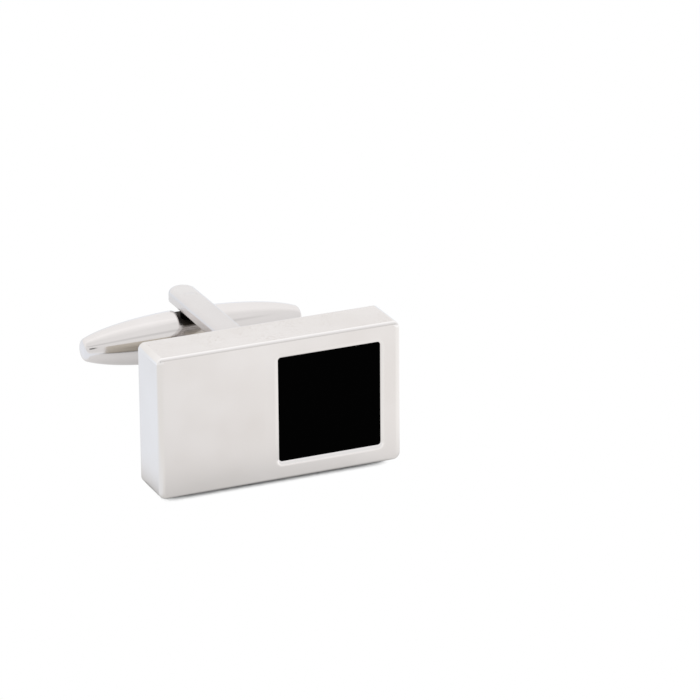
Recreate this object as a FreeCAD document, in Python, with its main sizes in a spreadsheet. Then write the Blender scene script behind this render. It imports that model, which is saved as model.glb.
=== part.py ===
import FreeCAD, Part
import math
import os
import re

import Sketcher

# Cufflink: a rectangular plated head with a square black inlay, and a fork on its back
# that carries a torpedo shaped swivel bar, the toggle, between its two arms.
#
# Millimetres. The origin is the middle of the head's back face, where the fork stands.
# +X runs along the head towards its inlaid half, +Y back along the post, +Z up.
# The toggle is modelled across the post, as it sits when the cufflink is fastened.

SIZES = {
    # Head: plated brass block with a pocket for the inlay and a round seat for the fork's foot.
    "head_width": 19.25,
    "head_height": 11.0,
    "head_depth": 4.0,
    "head_corner_radius": 0.55,
    "head_edge_radius": 0.26,
    # Inlay: square tile near one end of the face, in the middle of the face's height.
    "inlay_side": 8.1,
    "inlay_margin": 1.64,
    "inlay_pocket_depth": 1.2,
    "inlay_corner_radius": 0.2,
    "inlay_rim_chamfer": 0.1,
    "inlay_clearance": 0.03,
    "inlay_recess": 0.04,
    "inlay_edge_chamfer": 0.06,
    # Fork: foot let into the head, stem, round bend and two flat arms.
    "foot_radius": 2.8,
    "foot_thickness": 0.9,
    "foot_clearance": 0.02,
    "stem_height": 2.6,
    "root_radius": 0.45,
    "bend_distance": 6.0,
    "bend_blend_radius": 0.9,
    "arm_thickness": 1.05,
    "arm_width": 2.2,
    "arm_overhang": 2.75,
    "arm_edge_radius": 0.45,
    "arm_inside_chamfer": 0.12,
    "eye_side_clearance": 0.3,
    "eye_clearance": 0.04,
    # Room that the folded toggle has beside the arms and at the bottom of the bend.
    "toggle_clearance": 0.08,
    "tip_clearance": 0.73,
    # Pivot: fixed pin with a square cam that the spring lies on.
    "pin_radius": 0.5,
    "pin_end_chamfer": 0.06,
    "pin_clearance": 0.03,
    "cam_side": 1.5,
    "cam_clearance": 0.06,
    # Toggle: torpedo with an elliptical outline, cut off blunt at both ends.
    "toggle_length": 17.9,
    "toggle_radius": 2.0,
    "toggle_tip_radius": 1.0,
    "toggle_tip_round": 0.45,
    "waist_depth": 0.65,
    "waist_width": 2.3,
    "lobe_edge_radius": 0.4,
    # Spring and keeper in the slot in the toggle's back.
    "slot_height": 1.5,
    "slot_clearance": 0.03,
    "spring_length": 8.0,
    "spring_thickness": 0.18,
    "spring_gap": 0.02,
    "keeper_pad_length": 1.0,
    "keeper_relief": 0.42,
    # How far cuts run past the metal.
    "cut_overrun": 1.0,
}

doc = FreeCAD.newDocument("cufflink")
sheet = doc.addObject("Spreadsheet::Sheet", "Sizes")
for row, (alias, size) in enumerate(SIZES.items(), start=1):
    sheet.set(f"A{row}", alias)
    sheet.set(f"B{row}", str(size))
    sheet.setAlias(f"B{row}", alias)
doc.recompute()


# Binding sizes and drawing sketches


def formula(text):
    """A sum of sheet sizes as an expression: every word with an underscore is a cell."""
    return re.sub(r"\b[a-z]+(?:_[a-z]+)+\b", lambda word: "Sizes." + word.group(0), text)


def number(text):
    return float(sheet.evalExpression(formula(text)))


def bind(thing, prop, text):
    thing.setExpression(prop, formula(text))


def new_body(label):
    body = doc.addObject("PartDesign::Body", label)
    body.Label = label
    return body


def plane(body, role):
    return next(item for item in body.Origin.OriginFeatures if item.Role == role)


def new_sketch(body, name, role, offset=None):
    """A sketch on one of the body's own planes, moved along the plane's normal by offset."""
    sketch = body.newObject("Sketcher::SketchObject", name)
    sketch.AttachmentSupport = [(plane(body, role), "")]
    sketch.MapMode = "FlatFace"
    if offset is not None:
        bind(sketch, "AttachmentOffset.Base.z", offset)
    return sketch


def hold(sketch, kind, geometry, position, text):
    """One coordinate of a point, measured from the sketch's origin."""
    if text == "0":
        axis = -2 if kind == "DistanceX" else -1
        sketch.addConstraint(Sketcher.Constraint("PointOnObject", geometry, position, axis))
        return
    held = Sketcher.Constraint(kind, -1, 1, geometry, position, number(text))
    index = sketch.addConstraint(held)
    sketch.setExpression(f"Constraints[{index}]", formula(text))


def size_of(sketch, kind, geometry, text):
    index = sketch.addConstraint(Sketcher.Constraint(kind, geometry, number(text)))
    sketch.setExpression(f"Constraints[{index}]", formula(text))


def outline(sketch, corners, arcs=None):
    """A closed outline through corners given as pairs of formulas.

    arcs maps a corner's place in the list to the formulas of the centre of the arc that runs
    from it to the next corner, and to the side of the chord's middle on which the arc bulges.
    """
    arcs = arcs or {}
    points = [FreeCAD.Vector(number(x), number(y), 0) for x, y in corners]
    first = sketch.GeometryCount
    count = len(points)
    for place, start in enumerate(points):
        end = points[(place + 1) % count]
        if place not in arcs:
            sketch.addGeometry(Part.LineSegment(start, end))
            continue
        centre = FreeCAD.Vector(*[number(text) for text in arcs[place]["centre"]], 0)
        radius = (start - centre).Length
        bulge = FreeCAD.Vector(*arcs[place]["bulge"], 0).normalize()
        sketch.addGeometry(Part.Arc(start, centre + bulge * radius, end))
    for place, (x, y) in enumerate(corners):
        here = first + place
        before = first + (place - 1) % count
        # An arc always runs anticlockwise in a sketch, so its ends can be the other way round.
        start = nearest_end(sketch, here, points[place])
        end = nearest_end(sketch, before, points[place])
        sketch.addConstraint(Sketcher.Constraint("Coincident", before, end, here, start))
        hold(sketch, "DistanceX", here, start, x)
        hold(sketch, "DistanceY", here, start, y)
        if place in arcs:
            # The chord already holds the centre along itself, so only across it is left.
            chord = points[(place + 1) % count] - points[place]
            across = 0 if abs(chord.x) < abs(chord.y) else 1
            hold(sketch, ("DistanceX", "DistanceY")[across], here, 3, arcs[place]["centre"][across])


def nearest_end(sketch, geometry, point):
    gaps = [(sketch.getPoint(geometry, end) - point).Length for end in (1, 2)]
    return 1 + gaps.index(min(gaps))


def rectangle(sketch, low_x, low_y, high_x, high_y):
    outline(sketch, [(low_x, low_y), (high_x, low_y), (high_x, high_y), (low_x, high_y)])


def circle(sketch, x, y, radius):
    spot = FreeCAD.Vector(number(x), number(y), 0)
    index = sketch.addGeometry(Part.Circle(spot, FreeCAD.Vector(0, 0, 1), number(radius)))
    hold(sketch, "DistanceX", index, 3, x)
    hold(sketch, "DistanceY", index, 3, y)
    size_of(sketch, "Radius", index, radius)


# Features


def pad(body, name, sketch, length, symmetric=False):
    feature = body.newObject("PartDesign::Pad", name)
    feature.Profile = sketch
    bind(feature, "Length", length)
    if symmetric:
        feature.SideType = "Symmetric"
    doc.recompute()
    return feature


def pocket(body, name, sketch, length=None, symmetric=False, reverse=False):
    """A pocket of that depth, or right through; it has to take some metal away."""
    before = body.Shape.Volume
    feature = body.newObject("PartDesign::Pocket", name)
    feature.Profile = sketch
    if length is None:
        feature.Type = "ThroughAll"
    else:
        bind(feature, "Length", length)
    if symmetric:
        feature.SideType = "Symmetric"
    feature.Reversed = reverse
    doc.recompute()
    if not body.Shape.Volume < before:
        raise RuntimeError(f"{name} cuts nothing")
    return feature


def rounded(body, name, radius, chosen, kind="Fillet"):
    """A fillet or chamfer on the edges of the body for which chosen(edge) is true.

    A ball shaped corner has an edge without length at its pole, which is passed over.
    """
    base = body.Tip
    numbered = enumerate(base.Shape.Edges, start=1)
    names = [f"Edge{i}" for i, edge in numbered if not edge.Degenerated and chosen(edge)]
    if not names:
        raise RuntimeError(f"{name} finds no edge")
    feature = body.newObject("PartDesign::" + kind, name)
    feature.Base = (base, names)
    bind(feature, "Radius" if kind == "Fillet" else "Size", radius)
    doc.recompute()
    return feature


def mirrored(body, name, feature, role):
    copy = body.newObject("PartDesign::Mirrored", name)
    copy.Originals = [feature]
    copy.MirrorPlane = (plane(body, role), [""])
    body.Tip = copy
    doc.recompute()
    return copy


NEAR_SHARE = 1e-4
NEAR = number("head_depth") * NEAR_SHARE


def at(coordinate, text):
    return abs(coordinate - number(text)) < NEAR


def lies_at(edge, axis, text):
    """The whole edge is in the plane where that axis has that value."""
    return all(at(getattr(point, axis), text) for point in edge.discretize(5))


def runs_along(edge, axis):
    """A straight edge parallel to that axis."""
    if not isinstance(edge.Curve, Part.Line):
        return False
    return abs(abs(getattr(edge.Curve.Direction, axis)) - 1) < NEAR_SHARE


# Head: the plated block. Its face is towards -Y and its back lies on the origin plane.

INLAY_X = "(head_width / 2 - inlay_margin - inlay_side / 2)"


def square(sketch, middle_x, side):
    rectangle(
        sketch,
        f"{middle_x} - ({side}) / 2",
        f"-({side}) / 2",
        f"{middle_x} + ({side}) / 2",
        f"({side}) / 2",
    )


def make_head():
    body = new_body("head_block")
    block = new_sketch(body, "block_outline", "XZ_Plane")
    rectangle(block, "-head_width / 2", "-head_height / 2", "head_width / 2", "head_height / 2")
    pad(body, "block", block, "head_depth")
    rounded(body, "block_corners", "head_corner_radius", lambda edge: runs_along(edge, "y"))

    def face_or_back_rim(edge):
        return lies_at(edge, "y", "0") or lies_at(edge, "y", "-head_depth")

    rounded(body, "block_rims", "head_edge_radius", face_or_back_rim)

    recess = new_sketch(body, "inlay_pocket_outline", "XZ_Plane", "head_depth")
    square(recess, INLAY_X, "inlay_side")
    pocket(body, "inlay_pocket", recess, "inlay_pocket_depth")

    def pocket_corner(edge):
        reach = number("inlay_side / 2")
        spot = edge.CenterOfMass
        beside = abs(abs(spot.x - number(INLAY_X)) - reach) < NEAR
        return runs_along(edge, "y") and beside and abs(abs(spot.z) - reach) < NEAR

    rounded(body, "inlay_pocket_corners", "inlay_corner_radius", pocket_corner)

    def pocket_rim(edge):
        # The outer rim of the face lies further out than any edge of the pocket.
        spot = edge.CenterOfMass
        inside = abs(spot.z) < number("inlay_side / 2") + NEAR
        inside = inside and abs(spot.x - number(INLAY_X)) < number("inlay_side / 2") + NEAR
        return lies_at(edge, "y", "-head_depth") and inside

    rounded(body, "inlay_pocket_rim", "inlay_rim_chamfer", pocket_rim, "Chamfer")

    seat = new_sketch(body, "foot_seat_outline", "XZ_Plane")
    circle(seat, "0", "0", "foot_radius + foot_clearance")
    pocket(body, "foot_seat", seat, "foot_thickness", reverse=True)
    return body


# Inlay: the black tile lies on the floor of its pocket, a hair below the face.


def make_inlay():
    body = new_body("black_inlay")
    side = "inlay_side - 2 * inlay_clearance"
    tile = new_sketch(body, "tile_outline", "XZ_Plane", "head_depth - inlay_pocket_depth")
    square(tile, INLAY_X, side)
    pad(body, "tile", tile, "inlay_pocket_depth - inlay_recess")
    corner_radius = "inlay_corner_radius - inlay_clearance"
    rounded(body, "tile_corners", corner_radius, lambda edge: runs_along(edge, "y"))
    front = "inlay_recess - head_depth"
    rounded(body, "tile_edge", "inlay_edge_chamfer", lambda edge: lies_at(edge, "y", front), "Chamfer")
    return body


# Fork: foot, stem, bend and arms. The arms' ends carry eyes that stand in the toggle's waist.

ARM_INSIDE = "(toggle_radius + toggle_clearance)"
ARM_OUTSIDE = "(toggle_radius + toggle_clearance + arm_thickness)"
PIN_DISTANCE = f"(bend_distance - {ARM_INSIDE} + tip_clearance + toggle_length / 2)"
ARM_TIP = f"({PIN_DISTANCE} + arm_overhang)"
WAIST_HALF = "(toggle_radius - waist_depth)"
STEM_END = f"bend_distance - sqrt({ARM_OUTSIDE} ^ 2 - (stem_height / 2) ^ 2)"


def make_fork():
    body = new_body("post_fork")
    side = new_sketch(body, "fork_outline", "YZ_Plane")
    bend_centre = ("bend_distance", "0")
    outline(
        side,
        [
            ("0", "-stem_height / 2"),
            (STEM_END, "-stem_height / 2"),
            ("bend_distance", f"-{ARM_OUTSIDE}"),
            (ARM_TIP, f"-{ARM_OUTSIDE}"),
            (ARM_TIP, f"-{ARM_INSIDE}"),
            ("bend_distance", f"-{ARM_INSIDE}"),
            ("bend_distance", ARM_INSIDE),
            (ARM_TIP, ARM_INSIDE),
            (ARM_TIP, ARM_OUTSIDE),
            ("bend_distance", ARM_OUTSIDE),
            (STEM_END, "stem_height / 2"),
            ("0", "stem_height / 2"),
        ],
        {
            1: {"centre": bend_centre, "bulge": (-1, -1)},
            5: {"centre": bend_centre, "bulge": (-1, 0)},
            9: {"centre": bend_centre, "bulge": (-1, 1)},
        },
    )
    pad(body, "fork", side, "arm_width", symmetric=True)

    # The bend flows into the stem.
    def bend_meets_stem(edge):
        spot = edge.CenterOfMass
        level = abs(abs(spot.z) - number("stem_height / 2")) < NEAR
        return runs_along(edge, "x") and level and at(spot.y, STEM_END)

    rounded(body, "bend_blend", "bend_blend_radius", bend_meets_stem)

    # The arms end in half rounds.
    ends = new_sketch(body, "arm_end_outline", "XY_Plane")
    round_centre = ("0", f"{ARM_TIP} - arm_width / 2")
    outline(
        ends,
        [
            ("arm_width / 2", f"{ARM_TIP} - arm_width / 2"),
            ("arm_width / 2 + cut_overrun", f"{ARM_TIP} - arm_width / 2"),
            ("arm_width / 2 + cut_overrun", f"{ARM_TIP} + cut_overrun"),
            ("-arm_width / 2 - cut_overrun", f"{ARM_TIP} + cut_overrun"),
            ("-arm_width / 2 - cut_overrun", f"{ARM_TIP} - arm_width / 2"),
            ("-arm_width / 2", f"{ARM_TIP} - arm_width / 2"),
        ],
        {5: {"centre": round_centre, "bulge": (0, 1)}},
    )
    pocket(body, "arm_ends", ends, symmetric=True)

    # The outer edges are well rounded by polishing, those inside the fork only broken.
    def on_the_inside(point):
        reach = number(ARM_INSIDE)
        beyond_bend = point.y - number("bend_distance")
        if beyond_bend < 0:
            return abs(math.hypot(beyond_bend, point.z) - reach) < NEAR
        return abs(abs(point.z) - reach) < NEAR

    def inside_edge(edge):
        return not runs_along(edge, "x") and all(on_the_inside(point) for point in edge.discretize(5))

    def outside_edge(edge):
        if runs_along(edge, "z") or inside_edge(edge):
            return False
        beside = lies_at(edge, "x", "arm_width / 2") or lies_at(edge, "x", "-arm_width / 2")
        end = edge.CenterOfMass.y > number(f"{ARM_TIP} - arm_width / 2")
        return (beside and edge.CenterOfMass.y > NEAR) or end

    rounded(body, "outside_edges", "arm_edge_radius", outside_edge)
    rounded(body, "inside_edges", "arm_inside_chamfer", inside_edge, "Chamfer")

    foot = new_sketch(body, "foot_outline", "XZ_Plane")
    circle(foot, "0", "0", "foot_radius")
    pad(body, "foot", foot, "foot_thickness")

    def stem_root(edge):
        return lies_at(edge, "y", "0") and edge.BoundBox.DiagonalLength < number("foot_radius * 2")

    rounded(body, "stem_root", "root_radius", stem_root)

    eye = new_sketch(body, "eye_outline", "XY_Plane", f"{WAIST_HALF} + eye_clearance")
    circle(eye, "0", PIN_DISTANCE, "waist_width / 2 - eye_side_clearance")
    upper = pad(body, "upper_eye", eye, "waist_depth + toggle_clearance - eye_clearance")
    mirrored(body, "lower_eye", upper, "XY_Plane")

    hole = new_sketch(body, "pin_hole_outline", "XY_Plane")
    circle(hole, "0", PIN_DISTANCE, "pin_radius")
    pocket(body, "pin_holes", hole, symmetric=True)
    return body


# Pivot: the pin is riveted into both arms, and the square cam is pressed on its middle.
# Both are drawn round the pivot's own axis and placed by their bodies.


def make_pin():
    body = new_body("pivot_pin")
    bind(body, "Placement.Base.y", PIN_DISTANCE)
    section = new_sketch(body, "pin_section", "XY_Plane")
    circle(section, "0", "0", "pin_radius")
    pad(body, "pin", section, f"2 * {ARM_OUTSIDE}", symmetric=True)

    def pin_end(edge):
        return isinstance(edge.Curve, Part.Circle)

    rounded(body, "pin_ends", "pin_end_chamfer", pin_end, "Chamfer")
    return body


def make_cam():
    body = new_body("detent_cam")
    bind(body, "Placement.Base.y", PIN_DISTANCE)
    section = new_sketch(body, "cam_section", "XY_Plane")
    rectangle(section, "-cam_side / 2", "-cam_side / 2", "cam_side / 2", "cam_side / 2")
    circle(section, "0", "0", "pin_radius")
    pad(body, "cam", section, "slot_height - 2 * cam_clearance", symmetric=True)
    return body


# Toggle: a turned torpedo. Its waist is milled flat above and below for the eyes of the fork,
# and a slot in its back holds the cam, the spring and the keeper.

TORPEDO_AXIS = "toggle_length / sqrt(1 - (toggle_tip_radius / toggle_radius) ^ 2)"
SPRING_FRONT = "(cam_side / 2 + spring_gap)"
SPRING_BACK = "(cam_side / 2 + spring_gap + spring_thickness)"
SLOT_LENGTH = "(spring_length + 2 * slot_clearance)"
CAM_REACH = "(cam_side / 2 * sqrt(2) + cam_clearance)"


def torpedo(body):
    """The torpedo as turned: a quarter of an ellipse, cut off at the tip, revolved and mirrored."""
    half = new_sketch(body, "torpedo_outline", "XY_Plane")
    length = number("toggle_length / 2")
    radius = number("toggle_radius")
    tip = number("toggle_tip_radius")
    long_half = number(TORPEDO_AXIS) / 2
    middle = FreeCAD.Vector(0, 0, 0)
    ellipse = Part.Ellipse(
        FreeCAD.Vector(long_half, 0, 0), FreeCAD.Vector(0, radius, 0), middle
    )
    tip_angle = math.acos(length / long_half)
    crown = half.addGeometry(Part.ArcOfEllipse(ellipse, tip_angle, math.pi / 2))
    corners = [
        FreeCAD.Vector(0, radius, 0),
        middle,
        FreeCAD.Vector(length, 0, 0),
        FreeCAD.Vector(length, tip, 0),
    ]
    waist, axis, end = [
        half.addGeometry(Part.LineSegment(*pair)) for pair in zip(corners, corners[1:])
    ]
    half.exposeInternalGeometry(crown)
    long_axis, short_axis = end + 1, end + 2
    half.addConstraint(Sketcher.Constraint("Coincident", crown, 2, waist, 1))
    half.addConstraint(Sketcher.Constraint("Coincident", waist, 2, axis, 1))
    half.addConstraint(Sketcher.Constraint("Coincident", axis, 2, end, 1))
    half.addConstraint(Sketcher.Constraint("Coincident", end, 2, crown, 1))
    half.addConstraint(Sketcher.Constraint("Coincident", crown, 3, -1, 1))
    half.addConstraint(Sketcher.Constraint("Vertical", waist))
    half.addConstraint(Sketcher.Constraint("Vertical", end))
    half.addConstraint(Sketcher.Constraint("Horizontal", long_axis))
    size_of(half, "Distance", long_axis, TORPEDO_AXIS)
    size_of(half, "Distance", short_axis, "2 * toggle_radius")
    hold(half, "DistanceX", axis, 1, "0")
    hold(half, "DistanceY", axis, 1, "0")
    hold(half, "DistanceX", axis, 2, "toggle_length / 2")
    hold(half, "DistanceY", axis, 2, "0")
    turned = body.newObject("PartDesign::Revolution", "torpedo_half")
    turned.Profile = half
    turned.ReferenceAxis = (half, ["H_Axis"])
    doc.recompute()
    return mirrored(body, "torpedo", turned, "YZ_Plane")


def tip_rim(edge):
    return lies_at(edge, "x", "toggle_length / 2") or lies_at(edge, "x", "-toggle_length / 2")


def make_toggle():
    body = new_body("toggle_body")
    bind(body, "Placement.Base.y", PIN_DISTANCE)
    torpedo(body)
    rounded(body, "blunt_tips", "toggle_tip_round", tip_rim)

    waist = new_sketch(body, "waist_outline", "XZ_Plane")
    beyond = "toggle_radius + cut_overrun"
    rectangle(waist, "-waist_width / 2", WAIST_HALF, "waist_width / 2", beyond)
    rectangle(waist, "-waist_width / 2", f"-({beyond})", "waist_width / 2", f"-{WAIST_HALF}")
    pocket(body, "waist", waist, symmetric=True)

    # The inner ends of the two lobes are well rounded over.
    def lobe_rim(edge):
        beside = lies_at(edge, "x", "waist_width / 2") or lies_at(edge, "x", "-waist_width / 2")
        return beside and not isinstance(edge.Curve, Part.Line)

    rounded(body, "lobe_rims", "lobe_edge_radius", lobe_rim)

    slot = new_sketch(body, "spring_slot_outline", "XZ_Plane", f"spring_gap - {SPRING_FRONT}")
    rectangle(
        slot,
        f"-{SLOT_LENGTH} / 2",
        "-slot_height / 2",
        f"{SLOT_LENGTH} / 2",
        "slot_height / 2",
    )
    pocket(body, "spring_slot", slot)

    deep = new_sketch(body, "cam_pocket_outline", "XZ_Plane", CAM_REACH)
    rectangle(deep, f"-{CAM_REACH}", "-slot_height / 2", CAM_REACH, "slot_height / 2")
    pocket(body, "cam_pocket", deep)

    bearing = new_sketch(body, "bearing_outline", "XY_Plane")
    circle(bearing, "0", "0", "pin_radius + pin_clearance")
    pocket(body, "bearing", bearing, symmetric=True)
    return body


def make_spring():
    body = new_body("leaf_spring")
    bind(body, "Placement.Base.y", PIN_DISTANCE)
    leaf = new_sketch(body, "leaf_outline", "XZ_Plane", f"-{SPRING_BACK}")
    leaf_half = "(slot_height / 2 - slot_clearance)"
    rectangle(leaf, "-spring_length / 2", f"-{leaf_half}", "spring_length / 2", leaf_half)
    pad(body, "leaf", leaf, "spring_thickness")
    rounded(body, "leaf_corners", f"{leaf_half} / 2", lambda edge: runs_along(edge, "y"))
    return body


def make_keeper():
    body = new_body("spring_keeper")
    bind(body, "Placement.Base.y", PIN_DISTANCE)
    torpedo(body)
    keeper_half = "(slot_height / 2 - slot_clearance)"
    beyond = "(toggle_length / 2 + cut_overrun)"
    around = new_sketch(body, "keeper_outline", "XZ_Plane")
    rectangle(around, f"-{beyond}", f"-{beyond}", beyond, beyond)
    rectangle(around, "-spring_length / 2", f"-{keeper_half}", "spring_length / 2", keeper_half)
    pocket(body, "keeper_sides", around, symmetric=True)

    # The ends of the spring bear on two pads; between them the keeper leaves it room to bend.
    inside = new_sketch(body, "keeper_inside_outline", "XY_Plane")
    relief_half = "(spring_length / 2 - keeper_pad_length)"
    outline(
        inside,
        [
            (f"-{beyond}", f"-{beyond}"),
            (beyond, f"-{beyond}"),
            (beyond, SPRING_BACK),
            (relief_half, SPRING_BACK),
            (relief_half, f"{SPRING_BACK} + keeper_relief"),
            (f"-{relief_half}", f"{SPRING_BACK} + keeper_relief"),
            (f"-{relief_half}", SPRING_BACK),
            (f"-{beyond}", SPRING_BACK),
        ],
    )
    pocket(body, "keeper_inside", inside, symmetric=True)
    return body


makers = [
    make_head,
    make_inlay,
    make_fork,
    make_pin,
    make_cam,
    make_toggle,
    make_spring,
    make_keeper,
]
pieces = [make() for make in makers]
doc.recompute()

for item in doc.Objects:
    if {"Invalid", "Error"} & set(item.State):
        raise RuntimeError(f"{item.Label} failed: {item.State}")
for piece in pieces:
    shape = piece.Shape
    if shape.isNull() or not shape.isValid() or len(shape.Solids) != 1:
        raise RuntimeError(f"{piece.Label} has no valid single solid")

os.makedirs("parts", exist_ok=True)
for piece in pieces:
    piece.Shape.exportStep(f"parts/{piece.Label}.step")
    box = piece.Shape.BoundBox
    print(f"{piece.Label}: {piece.Shape.Volume:.3f} mm3, x {box.XMin:.2f} {box.XMax:.2f},",
          f"y {box.YMin:.2f} {box.YMax:.2f}, z {box.ZMin:.2f} {box.ZMax:.2f}")
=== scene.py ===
import math

import bmesh
import bpy
from mathutils import Matrix, Vector


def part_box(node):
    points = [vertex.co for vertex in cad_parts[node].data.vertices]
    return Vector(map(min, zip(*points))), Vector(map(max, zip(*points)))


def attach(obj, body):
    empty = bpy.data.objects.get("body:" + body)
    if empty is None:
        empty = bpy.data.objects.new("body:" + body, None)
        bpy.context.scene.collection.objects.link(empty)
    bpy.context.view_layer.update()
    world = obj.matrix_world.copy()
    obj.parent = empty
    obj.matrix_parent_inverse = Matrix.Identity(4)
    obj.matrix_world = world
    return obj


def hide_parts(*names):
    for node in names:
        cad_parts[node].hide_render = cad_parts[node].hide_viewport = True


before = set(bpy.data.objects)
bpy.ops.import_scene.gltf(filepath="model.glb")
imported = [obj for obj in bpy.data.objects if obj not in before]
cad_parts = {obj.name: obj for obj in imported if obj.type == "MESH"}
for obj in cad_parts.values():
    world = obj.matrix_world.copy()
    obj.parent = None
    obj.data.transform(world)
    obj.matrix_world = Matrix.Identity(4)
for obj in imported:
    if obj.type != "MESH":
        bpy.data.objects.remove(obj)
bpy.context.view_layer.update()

# Head block: the bar that shows on the cuff. It is brass, sawn to length and milled with a square
# pocket for the inlay and a round seat for the fork's foot, then polished and plated white.
# Meshes are drawn in millimetres and turned to metres when they are shown.

MM = 0.001


def box_in_mm(node):
    """A CAD node's lowest and highest corners, in millimetres."""
    return [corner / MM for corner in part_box(node)]


def arc(centre, radius, start, end, steps):
    """Points of an arc between two angles in degrees."""
    angles = [math.radians(start + (end - start) * step / steps) for step in range(steps + 1)]
    return [(centre[0] + radius * math.cos(a), centre[1] + radius * math.sin(a)) for a in angles]


def circle(radius, steps):
    return arc((0, 0), radius, 0, 360 - 360 / steps, steps - 1)


def rounded_rectangle(middle, half_width, half_height, radius):
    """Points of a rectangle with round corners."""
    corner_steps = 10
    points = []
    for side, level, start in ((1, 1, 0), (-1, 1, 90), (-1, -1, 180), (1, -1, 270)):
        x = middle[0] + side * (half_width - radius)
        z = middle[1] + level * (half_height - radius)
        points += arc((x, z), radius, start, start + 90, corner_steps)
    return points


def across(outline, y):
    """An outline in X and Z, put across the cufflink at that depth."""
    return [Vector((x, y, z)) for x, z in outline]


MERGE_DISTANCE = 0.002


def loft(name, rings):
    """A closed solid through rings of points, with flat ends."""
    shape = bmesh.new()
    loops = [[shape.verts.new(point) for point in ring] for ring in rings]
    for near, far in zip(loops, loops[1:]):
        for place in range(len(near)):
            shape.faces.new((near[place - 1], near[place], far[place], far[place - 1]))
    shape.faces.new(loops[0])
    shape.faces.new(loops[-1])
    bmesh.ops.remove_doubles(shape, verts=shape.verts, dist=MERGE_DISTANCE)
    bmesh.ops.recalc_face_normals(shape, faces=shape.faces)
    mesh = bpy.data.meshes.new(name)
    shape.to_mesh(mesh)
    shape.free()
    piece = bpy.data.objects.new(name, mesh)
    bpy.context.scene.collection.objects.link(piece)
    return piece


def slab(name, middle, half_width, half_height, corner_radius, front, back, rim, end_spread=1):
    """A block along Y with round corners, whose front and back rims are rounded over.

    At its two ends the front rim reaches end_spread times as far over the face.
    """
    front_rim = arc((rim, rim), rim, 270, 180, steps=7)
    places = [(drawn_in, end_spread, front + below) for drawn_in, below in front_rim]
    places += [(drawn_in, 1, back - below) for drawn_in, below in reversed(front_rim)]
    rings = []
    for drawn_in, spread, y in places:
        outline = rounded_rectangle(
            middle, half_width - drawn_in * spread, half_height - drawn_in, corner_radius - drawn_in
        )
        rings.append(across(outline, y))
    return loft(name, rings)


def carve(piece, tool, operation="DIFFERENCE"):
    """Cuts a piece by a tool, or joins it, and takes the tool away."""
    change = piece.modifiers.new("carve", "BOOLEAN")
    change.operation = operation
    change.solver = "EXACT"
    change.object = tool
    bpy.context.view_layer.update()
    carved = piece.evaluated_get(bpy.context.evaluated_depsgraph_get())
    mesh = bpy.data.meshes.new_from_object(carved)
    piece.modifiers.clear()
    piece.data = mesh
    bpy.data.objects.remove(tool)


SHARP_ANGLE = math.radians(35)


def show(piece, body, node, material):
    """Shades a finished piece, and puts it in the place of its CAD node on the body."""
    piece.data.transform(Matrix.Scale(MM, 4))
    piece.data.shade_smooth()
    piece.data.set_sharp_from_angle(angle=SHARP_ANGLE)
    piece.data.materials.clear()
    piece.data.materials.append(material)
    # Large flat faces keep their own direction, so that the rounded edges take up all the turn.
    piece.modifiers.new("flat_faces", "WEIGHTED_NORMAL").keep_sharp = True
    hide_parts(node)
    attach(piece, body)


HEAD_CORNER_RADIUS = 0.55
HEAD_RIM_RADIUS = 0.26
END_SPREAD = 2.0
POCKET_CLEARANCE = 0.03
POCKET_CORNER_RADIUS = 0.2
MOUTH_WIDTH = 0.5
MOUTH_DEPTH = 0.14
MOUTH_RUNOUT = 0.01
FOOT_RADIUS = 2.8
FOOT_STEPS = 96
FOOT_CLEARANCE = 0.02
CUT_OVERRUN = 1.0

head_low, head_high = box_in_mm("head_block")
inlay_low, inlay_high = box_in_mm("black_inlay")
fork_low, fork_high = box_in_mm("post_fork")
inlay_middle = ((inlay_low.x + inlay_high.x) / 2, (inlay_low.z + inlay_high.z) / 2)
pocket_half = (inlay_high.x - inlay_low.x) / 2 + POCKET_CLEARANCE

head = slab(
    "polished_head",
    (0, 0),
    head_high.x,
    head_high.z,
    HEAD_CORNER_RADIUS,
    head_low.y,
    head_high.y,
    HEAD_RIM_RADIUS,
    END_SPREAD,
)
# The polishing mop wears the pocket's mouth round, wider than deep. The cutter's last ring stands
# a hair before the face, so that the mouth runs out on it without a step.
pocket_places = [(0, inlay_high.y)]
for out, below in arc((1, 1), 1, 180, 270, steps=9):
    pocket_places.append((MOUTH_WIDTH * out, head_low.y + MOUTH_DEPTH * (below - MOUTH_RUNOUT)))
pocket_places.append((MOUTH_WIDTH, head_low.y - CUT_OVERRUN))
pocket_rings = []
for out, y in pocket_places:
    outline = rounded_rectangle(
        inlay_middle, pocket_half + out, pocket_half + out, POCKET_CORNER_RADIUS + out
    )
    pocket_rings.append(across(outline, y))
carve(head, loft("pocket_cutter", pocket_rings))
seat_outline = circle(FOOT_RADIUS + FOOT_CLEARANCE, FOOT_STEPS)
carve(head, loft("seat_cutter", [across(seat_outline, y) for y in (fork_low.y, CUT_OVERRUN)]))


def linear(hex_colour):
    """An sRGB hex colour as the linear colour that a shader takes."""
    shares = [int(hex_colour[place:place + 2], 16) / 255 for place in (1, 3, 5)]
    return [s / 12.92 if s <= 0.04045 else ((s + 0.055) / 1.055) ** 2.4 for s in shares] + [1.0]


def add_node(tree, kind, sockets, **settings):
    """Adds a node. A socket is set to the value given for it, or linked where that is an output."""
    node = tree.nodes.new(kind)
    for name, value in settings.items():
        setattr(node, name, value)
    for name, value in sockets.items():
        if isinstance(value, bpy.types.NodeSocket):
            tree.links.new(value, node.inputs[name])
        else:
            node.inputs[name].default_value = value
    return node


# The colour sockets of a Mix node, which share their names with its number sockets.
MIX_A, MIX_B, MIX_RESULT = 6, 7, 2


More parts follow.
